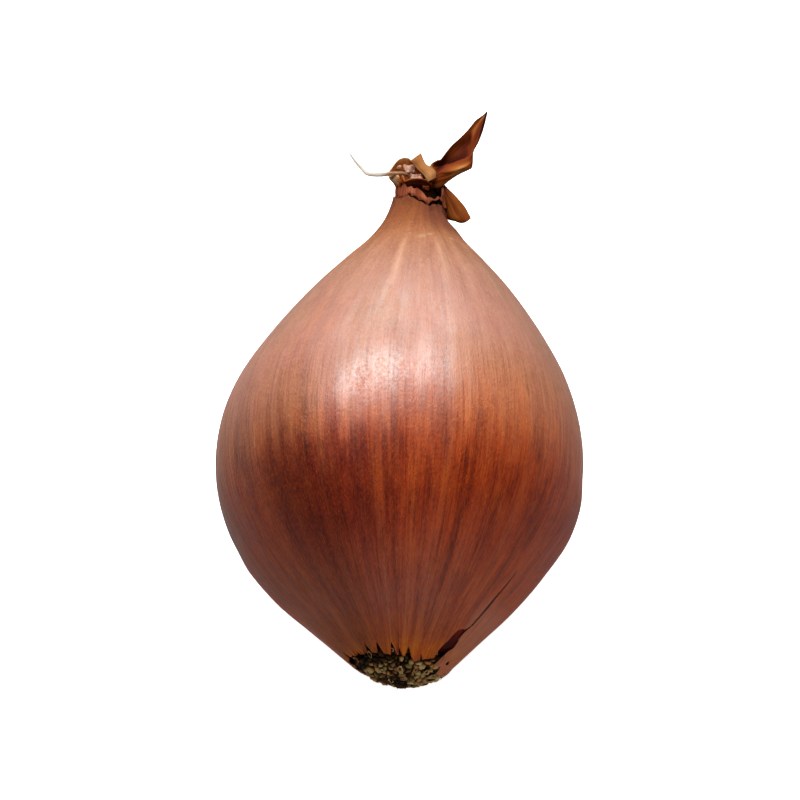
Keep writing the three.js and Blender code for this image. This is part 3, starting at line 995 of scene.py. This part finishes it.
def collarMaterial():
    recipe = Recipe("torn collar")
    place = recipe.bulbPlace()
    veins = recipe.fibres(place, 40, 60, 3, 3.3, 0.6)
    patches = recipe.fibres(place, 9, 300, 2, 6.1)
    tint = recipe.mix(recipe.step(0.35, 0.65, veins), *[colour(*shade) for shade in collar["veins"]])
    tint = recipe.mix(recipe.step(0.5, 0.65, patches) * 0.6, tint, colour(*collar["patches"]))
    # painted shade where the tone is low
    tint = recipe.mix(recipe.step(0.75, 0.1, recipe.tone()), tint, colour(*collar["paintedShade"]))
    return recipe.finish({
        "Base Color": tint,
        "Roughness": 0.7,
        "Normal": recipe.bump(veins, 0.1),
        "Specular IOR Level": 0.0,
    })


finishPiece(makeCollar(), collarMaterial(), "neck_collar")

# Dry leaves at the neck, each laid through stations of right, along, up and tone

def leafMaterial(name, *colours):
    # tone runs from the first colour to the last, and the fibres follow the leaf's length
    recipe = Recipe(name)
    lengthwise = recipe.add("ShaderNodeUVMap", {"uv_map": "UVMap"})
    stretch = lambda across, along: recipe.add(
        "ShaderNodeMapping", {}, {"Vector": lengthwise, "Scale": (across, along, 1)})
    fibres = recipe.noise(stretch(38, 2.5), 1.0, 3.0, 0.6)
    patches = recipe.noise(stretch(7, 2.5), 1.0, 3.0)
    share = recipe.tone() + (fibres - 0.5) * 0.4 + (patches - 0.5) * 0.3
    stops = [(i / (len(colours) - 1), colour(*shade)) for i, shade in enumerate(colours)]
    return recipe.finish({
        "Base Color": recipe.ramp(share, stops),
        "Roughness": 0.65,
        "Normal": recipe.bump(fibres * 0.8 + patches * 0.4, 0.07, 0.5),
        "Specular IOR Level": 0.04,
    })


tallLeaf = {
    "thickness": 0.12,
    "wrinkle": 0.13,
    "mesh": (150, 60),  # rows and columns
    "stations": [
        [(2.56, 36.4, 1.6, 0.8), (2.6, 36.3, 1.8, 0.8), (2.65, 36.15, 2.1, 0.7), (2.7, 35.95, 2.3, 0.5),
         (2.75, 35.85, 2.3, 0.4), (2.78, 35.65, 2.4, 0.4), (2.82, 35.4, 2.3, 0.4)],
        [(3.3, 37.6, 1.2, 0.9), (3.3, 37.2, 1.3, 0.9), (3.32, 36.7, 1.6, 0.6), (3.35, 36.2, 2.1, 0.3),
         (3.38, 35.95, 2.2, 0.3), (3.4, 35.65, 2.4, 0.35), (3.44, 35.25, 2.3, 0.4)],
        [(3.85, 39.38, 0.9, 1), (3.97, 39.11, 0.6, 0.8), (4.16, 38.58, 0.7, 0.4), (4.36, 37.88, 1.5, 0.3),
         (4.2, 37.11, 1.9, 0.4), (4.02, 36.5, 1.9, 0.3), (3.84, 35.85, 1.6, 0.4)],
        [(4.59, 39.86, 1.1, 0.7), (4.72, 39.65, 0.5, 0.6), (4.9, 39.11, 0.6, 0.05), (5.07, 38.45, 1.7, 0.15),
         (4.98, 37.69, 2.4, 0.4), (4.82, 36.9, 2.2, 0.5), (4.7, 35.95, 1.6, 0.6)],
        [(5.08, 39.94, 1.3, 0.55), (5.4, 39.94, 0.6, 0.5), (5.59, 39.48, 0.7, 0.05), (5.73, 38.75, 1.9, 0.35),
         (5.78, 37.76, 2.6, 0.5), (5.68, 37.12, 2.3, 0.55), (5.51, 36.35, 1.7, 0.6)],
        [(5.58, 40.58, 1.5, 0.5), (6.09, 40.33, 0.8, 0.45), (6.33, 39.71, 0.8, 0), (6.4, 38.95, 1.9, 0.4),
         (6.52, 37.94, 2.5, 0.72), (6.49, 37.48, 2.3, 0.8), (6.31, 37.02, 1.8, 0.7)],
        [(6.39, 41.66, 1.6, 0.5), (6.96, 41.17, 0.9, 0.5), (7.3, 40.07, 0.9, 0.05), (7.34, 39.41, 1.9, 0.35),
         (7.54, 38.42, 2.3, 0.85), (7.54, 38.1, 2.2, 0.85), (7.49, 37.8, 1.8, 0.65)],
        [(7.27, 42.56, 1.6, 0.45), (7.83, 42.0, 0.9, 0.35), (8.19, 40.44, 1.0, 0.1), (8.21, 39.82, 1.8, 0.4),
         (8.35, 38.93, 2.1, 0.72), (8.41, 38.62, 2.0, 0.7), (8.61, 38.45, 1.6, 0.6)],
        [(7.96, 43.32, 1.6, 0.45), (8.46, 42.51, 1.0, 0.3), (8.75, 40.94, 1.1, 0.4), (8.8, 40.37, 1.7, 0.45),
         (8.83, 39.77, 1.8, 0.4), (8.87, 39.31, 1.6, 0.4), (8.92, 38.98, 1.3, 0.4)],
        [(8.4, 43.84, 1.6, 0.5), (8.77, 43.01, 1.1, 0.25), (8.95, 41.72, 1.2, 0.4), (9.0, 41.2, 1.4, 0.5),
         (9.02, 41.09, 1.4, 0.45), (9.04, 41.01, 1.4, 0.4), (9.05, 40.98, 1.3, 0.3)],
        [(8.77, 44.29, 1.6, 0.3), (9.09, 43.87, 1.2, 0.8), (9.39, 43.19, 1.3, 0.35), (9.57, 42.73, 1.4, 0.4),
         (9.64, 42.59, 1.4, 0.4), (9.69, 42.48, 1.4, 0.3), (9.73, 42.46, 1.3, 0.2)],
        [(9.46, 45.22, 1.6, 0.45), (9.72, 44.95, 1.3, 0.75), (9.96, 44.53, 1.4, 0.4), (10.08, 44.2, 1.5, 0.3),
         (10.15, 44.06, 1.5, 0.1), (10.2, 43.95, 1.5, 0), (10.24, 43.9, 1.4, 0)],
        [(10.34, 45.91, 1.7, 0.5), (10.44, 45.78, 1.6, 0.8), (10.53, 45.62, 1.6, 0.5), (10.57, 45.49, 1.7, 0),
         (10.6, 45.43, 1.7, 0), (10.61, 45.39, 1.7, 0), (10.62, 45.36, 1.6, 0)],
        [(10.79, 46.35, 1.7, 0.1), (10.81, 46.34, 1.7, 0.1), (10.82, 46.32, 1.7, 0.1), (10.82, 46.31, 1.7, 0),
         (10.83, 46.3, 1.7, 0), (10.84, 46.3, 1.7, 0), (10.84, 46.28, 1.7, 0)],
    ],
}

tabLeaf = {
    "thickness": 0.12,
    "wrinkle": 0.05,
    "mesh": (60, 40),  # rows and columns
    "stations": [
        [(1.36, 39.25, 2.4, 0.5), (1.95, 39.72, 2.5, 0.6), (2.58, 40.28, 2.4, 0.6)],
        [(1.62, 38.72, 2.6, 0.1), (2.25, 39.05, 2.7, 0.5), (2.9, 39.4, 2.5, 0.7)],
        [(2.1, 38.0, 2.7, 0.4), (2.7, 38.3, 2.8, 0.7), (3.26, 38.62, 2.6, 0.75)],
        [(2.84, 37.2, 2.8, 0.6), (3.3, 37.6, 2.95, 0.8), (3.95, 38.16, 2.65, 0.7)],
        [(3.26, 36.55, 2.9, 0.8), (3.7, 36.95, 3.05, 1), (4.4, 37.62, 2.6, 0.7)],
        [(3.45, 36.1, 2.8, 0.7), (3.85, 36.35, 2.95, 0.8), (4.4, 36.9, 2.5, 0.6)],
    ],
}

hangingLeaf = {
    "thickness": 0.13,
    "wrinkle": 0.05,
    "mesh": (80, 50),  # rows and columns
    # the first points of the middle stations, at tone 0, are painted shade: the dark gap between the leaf and
    # the skin
    "stations": [
        [(5.1, 36.5, 0.6, 0.3), (5.28, 36.5, 1.1, 0.4), (5.34, 36.48, 1.15, 0.4), (5.4, 36.45, 1.2, 0.4),
         (5.5, 36.4, 1.15, 0.5), (5.6, 36.35, 1.0, 0.5)],
        [(4.7, 35.4, 0.2, 0), (5.2, 35.4, 0.9, 0.4), (5.5, 35.3, 1.15, 0.5), (5.75, 35.3, 1.2, 0.35),
         (6.02, 35.4, 1.1, 0.6), (6.37, 35.73, 0.7, 0.65)],
        [(4.9, 34.4, 0.2, 0), (5.55, 34.27, 0.7, 0.35), (5.95, 34.15, 1.1, 0.65), (6.35, 34.2, 1.15, 0.45),
         (6.8, 34.4, 1.0, 0.65), (7.23, 34.84, 0.5, 0.75)],
        [(5.1, 33.2, 0.1, 0), (5.7, 33.1, 0.5, 0.35), (6.4, 32.95, 0.9, 0.8), (6.9, 33.1, 0.95, 0.5),
         (7.4, 33.4, 0.85, 0.7), (7.97, 33.91, 0.3, 0.7)],
        [(5.6, 32.4, 0.2, 0), (6.1, 32.25, 0.4, 0.3), (6.85, 32.1, 0.7, 0.8), (7.5, 32.2, 0.8, 0.55),
         (8.0, 32.45, 0.6, 0.6), (8.52, 32.89, 0.3, 0.65)],
        [(6.7, 32.0, 0.35, 0.3), (6.91, 31.95, 0.4, 0.4), (7.4, 31.65, 0.5, 0.5), (7.9, 31.6, 0.6, 0.4),
         (8.35, 31.9, 0.5, 0.5), (8.75, 32.34, 0.3, 0.5)],
    ],
}

leafSheath = {
    "thickness": 0.15,
    "wrinkle": 0.05,
    "mesh": (180, 30),
    "belly": 0.12,  # how far its walls bulge
    # round the cup from the back by the left: the foot, then the rim with its tone and the wall's tone, low
    # where the wall takes painted shade under the lip
    "feet": [
        (1.4, 36.6, -2.0), (0.5, 36.7, -1.6), (-0.1, 36.8, -1.1), (-0.45, 36.9, -0.4), (-0.6, 36.9, 0.3),
        (-0.55, 36.6, 1.0), (-0.2, 36.2, 1.6), (0.1, 36.0, 1.8), (0.2, 35.8, 1.9), (0.4, 35.8, 2.0),
        (0.8, 35.7, 2.1), (1.2, 35.6, 2.1), (1.7, 35.6, 2.15), (2.5, 35.55, 2.1), (3.2, 35.5, 1.9),
        (3.7, 35.5, 1.5), (4.0, 35.6, 0.8), (3.9, 35.8, -0.1), (3.5, 36.0, -1.0), (2.8, 36.3, -1.6),
        (2.0, 36.5, -1.9), (1.4, 36.6, -2.0),
    ],
    "rim": [
        (0.5, 41.5, -1.3, 0.95, 0.45), (-0.12, 41.1, -1.0, 0.9, 0.45), (-0.56, 40.4, -0.6, 0.8, 0.5),
        (-0.99, 39.5, -0.1, 0.8, 0.7), (-1.32, 38.7, 0.4, 1, 1), (-1.29, 37.8, 0.9, 1, 1.25),
        (-0.49, 37.6, 1.8, 0.9, 1.2), (-0.12, 37.2, 2.1, 0.8, 0.8), (0.06, 36.2, 2.3, 0.2, 0.1),
        (0.31, 37.2, 2.4, 0.9, 0.5), (0.62, 36.3, 2.7, 0.95, 0.4), (1.11, 36.4, 2.95, 1, 0.4),
        (1.72, 36.5, 3.05, 1, 0.35), (2.59, 36.5, 3.0, 0.9, 0.25), (3.33, 36.3, 2.8, 0.6, 0.25),
        (3.76, 36.05, 2.4, 0.5, 0.3), (3.9, 37.4, 1.2, 0.2, 0.1), (3.4, 38.4, 0.6, 0.2, 0.15),
        (2.5, 39.6, 0.0, 0.4, 0.25), (1.5, 40.6, -0.6, 0.7, 0.4), (1.06, 41.3, -1.1, 0.9, 0.45),
        (0.5, 41.5, -1.3, 0.95, 0.45),
    ],
}


def makeLeaf(name, leaf):
    rows, columns = leaf["mesh"]
    piece = makeSheet(name, leaf["stations"], rows, columns)
    # folds that run its length, then the leaf's own thickness
    folds = []
    for row in range(rows + 1):
        for column in range(columns + 1):
            across, along = column / columns, row / rows
            deep = noise.noise(Vector((across * 9, along * 2.2, 1.1)))
            folds.append(deep + 0.5 * noise.noise(Vector((across * 22, along * 4, 6.3))))
    pushOut(piece, leaf["wrinkle"] * np.array(folds))
    thicken(piece, leaf)
    return piece


def makeSheath():
    # each station runs from the foot of the cup up its wall to just under the rim, and over it
    stations = []
    for foot, (right, along, up, rimTone, wallToneAndShade) in zip(leafSheath["feet"], leafSheath["rim"]):
        foot, rim = np.array(foot), np.array((right, along, up))
        outwards = np.array([foot[0] - 1.6, 0, foot[2]])
        belly = leafSheath["belly"] if wallToneAndShade > 0.2 else -leafSheath["belly"]
        outwards *= belly / np.linalg.norm(outwards)
        middle, under = foot * 0.5 + rim * 0.5 + outwards, foot * 0.14 + rim * 0.86 + outwards
        # painted shade: the wall darkens towards its foot
        wall = [(*foot, wallToneAndShade * 0.5), (*middle, wallToneAndShade * 0.8), (*under, wallToneAndShade)]
        stations.append([*wall, (*rim, rimTone)])
    piece = makeSheet("leafSheath", stations, *leafSheath["mesh"], ring=True)
    pushOut(piece, leafSheath["wrinkle"] * lumps(readPoints(piece), 0.7, 1.1))
    thicken(piece, leafSheath)
    return piece


# slot, node, name of the material and its colours, from the darkest tone to the lightest
dryPieces = [
    (makeLeaf("tallLeaf", tallLeaf), "dry_leaf", "tall_leaf",
     "tall dry leaf", (38, 7, 2), (76, 24, 7), (114, 49, 15), (144, 80, 28), (190, 138, 88)),
    # its darkest colour is painted shade along its left margin
    (makeLeaf("hangingLeaf", hangingLeaf), "dry_leaf", "hanging_leaf",
     "hanging dry leaf", (20, 7, 3), (72, 24, 5), (120, 60, 20), (150, 90, 38)),
    (makeLeaf("tabLeaf", tabLeaf), "leaf_sheath", "tab_leaf",
     "folded leaf", (92, 50, 26), (128, 78, 40), (150, 98, 54), (166, 116, 72)),
    # its darkest colour is painted shade under the lip and at the foot
    (makeSheath(), "leaf_sheath", "leaf_sheath",
     "dry sheath", (16, 6, 3), (84, 30, 10), (132, 66, 20), (156, 104, 64), (192, 148, 110)),
]
for piece, slot, node, *finish in dryPieces:
    finishPiece(piece, leafMaterial(*finish), node, sharp=60)

# Pale broken scales in the cup, and the dried strand that hangs out of it

paleScales = [
    # node, centre (right, along, up), size, turn, seed
    ("inner_scale_01", (1.2, 38.45, 1.3), (1.35, 1.15, 0.9), 4, 3),
    ("inner_scale_02", (2.0, 37.05, 2.1), (1.5, 0.8, 0.7), -8, 8),
    ("inner_scale_03", (-0.13, 38.72, 1.4), (0.66, 0.42, 0.4), 12, 5),
]

strand = {
    # right, along, up, thickness
    "route": [
        (1.2, 37.5, 1.5, 0.08), (0.85, 37.62, 1.85, 0.3), (0.3, 37.66, 2.1, 0.42), (-0.4, 37.66, 2.1, 0.5),
        (-1.36, 37.75, 1.75, 0.58), (-2.73, 37.92, 1.2, 0.62), (-4.02, 38.2, 0.95, 0.58),
        (-4.86, 39.06, 0.9, 0.46), (-5.55, 39.86, 1.0, 0.36), (-6.18, 40.79, 1.1, 0.2),
        (-6.24, 40.87, 1.1, 0.03),
    ],
    "mesh": (120, 24),
    "sides": 12,
    "groove": 0.22,
    "flatness": 0.8,
}


def makeScale(node, centre, size, spin, seed):
    bpy.ops.mesh.primitive_cube_add(size=mm, location=(0, 0, 0), scale=size)
    piece = bpy.context.object
    piece.name = node.replace("inner_scale_", "innerScale")
    bpy.ops.object.transform_apply()
    applyModifier(piece, "BEVEL", width=0.16 * mm, segments=2, affect="EDGES")
    startEditing()
    bpy.ops.mesh.subdivide(number_cuts=5)
    bpy.ops.object.mode_set(mode="OBJECT")
    points = readPoints(piece)
    pushOut(piece, 0.22 * lumps(points, 0.55, seed) + 0.08 * lumps(points, 0.2, seed + 9))
    x, y, z = readPoints(piece).T
    turn = radians(spin)
    turned = np.stack([x * cos(turn) - y * sin(turn), x * sin(turn) + y * cos(turn), z], axis=1)
    writePoints(piece, turned + (np.array(centre) + (0, 0, axisHeight)) * mm)
    applyModifier(piece, "SUBSURF", levels=1, render_levels=1)
    return piece


def makeStrand():
    # a ring of points across the route at each of its stations
    route = np.array(strand["route"])
    ahead = np.gradient(route[:, :3], axis=0)
    ahead /= np.linalg.norm(ahead, axis=1)[:, None]
    side = np.cross(ahead, (0, 0, 1))
    side /= np.linalg.norm(side, axis=1)[:, None]
    top = np.cross(side, ahead)
    stations = []
    for (right, along, up, thickness), across, above in zip(route, side, top):
        ring = []
        for step in range(strand["sides"] + 1):
            angle = 2 * pi * step / strand["sides"]
            groove = 1 - strand["groove"] * abs(cos(angle * 1.5))
            spoke = across * cos(angle) + above * strand["flatness"] * sin(angle)
            spot = np.array([right, along, up]) + thickness / 2 * groove * spoke
            ring.append((*spot, 0.5 + 0.5 * cos(angle)))
        stations.append(ring)
    return makeSheet("driedStrand", stations, *strand["mesh"], ring=True)


def scaleMaterial():
    recipe = Recipe("pale scale")
    position = recipe.position()
    patches = recipe.noise(position, 1100.0, 3.0)
    grain = recipe.noise(position, 4000.0, 2.0)
    stops = [(0.3, colour(140, 80, 56)), (0.5, colour(166, 112, 86)), (0.7, colour(154, 120, 90))]
    return recipe.finish({
        "Base Color": recipe.ramp(patches, stops),
        "Roughness": 0.45,
        "Normal": recipe.bump(grain, 0.06, 0.4),
    })


def strandMaterial():
    recipe = Recipe("pale strand")
    position = recipe.position()
    streaks = recipe.noise(position, 1500.0, 3.0)
    right = recipe.add("ShaderNodeSeparateXYZ", {}, {"Vector": position})
    tint = recipe.mix(recipe.step(0.3, 0.7, recipe.tone()), colour(224, 214, 198), colour(202, 190, 168))
    tint = recipe.mix(recipe.step(0.5, 0.7, streaks) * 0.5, tint, colour(206, 180, 166))
    # browner where it leaves the cup, greyer at its tip
    tint = recipe.mix(recipe.step(-2.6 * mm, -1.2 * mm, right), tint, colour(158, 112, 76))
    tint = recipe.mix(recipe.step(-4.6 * mm, -6.2 * mm, right) * 0.6, tint, colour(176, 164, 156))
    return recipe.finish({"Base Color": tint, "Roughness": 0.4, "Normal": recipe.bump(streaks, 0.06, 0.4)})


paleFinish = scaleMaterial()
for node, centre, size, spin, seed in paleScales:
    finishPiece(makeScale(node, centre, size, spin, seed), paleFinish, node)
finishPiece(makeStrand(), strandMaterial(), "dried_strand")

# Floor, camera and lights

def floorMaterial():
    # a backlit white sweep that throws only a little of its light back on what lies on it
    recipe = Recipe("pale floor")
    seen = recipe.add("ShaderNodeBsdfPrincipled", {}, {
        "Base Color": (0.85, 0.85, 0.85, 1), "Roughness": 0.9, "Specular IOR Level": 0,
        "Emission Color": (1, 1, 1, 1), "Emission Strength": 0.93,
    })
    thrown = recipe.add("ShaderNodeBsdfDiffuse", {}, {"Color": (0.27, 0.27, 0.27, 1)})
    direct = recipe.add("ShaderNodeLightPath")
    mixed = recipe.add("ShaderNodeMixShader", {}, {0: direct, 1: thrown, 2: seen})
    recipe.add("ShaderNodeOutputMaterial", {}, {"Surface": mixed})
    return recipe.material


view = {"elevation": 68, "aimAlong": 8.3, "distance": 400, "lens": 149}
bpy.ops.mesh.primitive_plane_add(size=4, location=(0, 0, 0))
floor = bpy.context.object
floor.name = "floor"
floor.data.materials.append(floorMaterial())

aim = Vector((0, view["aimAlong"], axisHeight)) * mm
elevation = radians(view["elevation"])
towardsCamera = Vector((0, -cos(elevation), sin(elevation)))
bpy.ops.object.camera_add(location=aim + towardsCamera * view["distance"] * mm)
camera = bpy.context.object
camera.rotation_euler = towardsCamera.to_track_quat("Z", "Y").to_euler()
camera.data.lens = view["lens"]
camera.data.clip_start = 0.01
bpy.context.scene.camera = camera


def addSoftbox(name, azimuth, elevation, distance, width, height, power):
    # azimuth 0 stands beyond the neck, and turns to the right
    a, e = radians(azimuth), radians(elevation)
    towards = Vector((sin(a) * cos(e), cos(a) * cos(e), sin(e)))
    bpy.ops.object.light_add(type="AREA", location=aim + towards * distance)
    lamp = bpy.context.object
    lamp.name = name
    lamp.rotation_euler = towards.to_track_quat("Z", "Y").to_euler()
    lamp.data.shape = "ELLIPSE"
    lamp.data.size = width
    lamp.data.size_y = height
    lamp.data.energy = power
    lamp.visible_camera = False


# name, azimuth, elevation, distance, width, height, power
lights = [
    ("windowLight", 3, 39, 0.7, 1.0, 0.75, 4.3),
    ("keyLight", -12, 49, 0.6, 0.84, 0.27, 4.8),
    ("backCard", 0, 8, 0.7, 1.2, 0.2, 2.0),
    ("frontFill", 168, 4, 0.9, 2.4, 0.5, 5.4),
]
for light in lights:
    addSoftbox(*light)
bpy.data.objects["frontFill"].visible_glossy = False  # it leaves no highlight of its own
world = bpy.data.worlds.new("studio")
bpy.context.scene.world = world
world.use_nodes = True
background = world.node_tree.nodes["Background"]
background.inputs["Color"].default_value = (1, 1, 1, 1)
background.inputs["Strength"].default_value = 0.03
bpy.context.scene.view_settings.view_transform = "Standard"
print("floor, camera and lights ready")
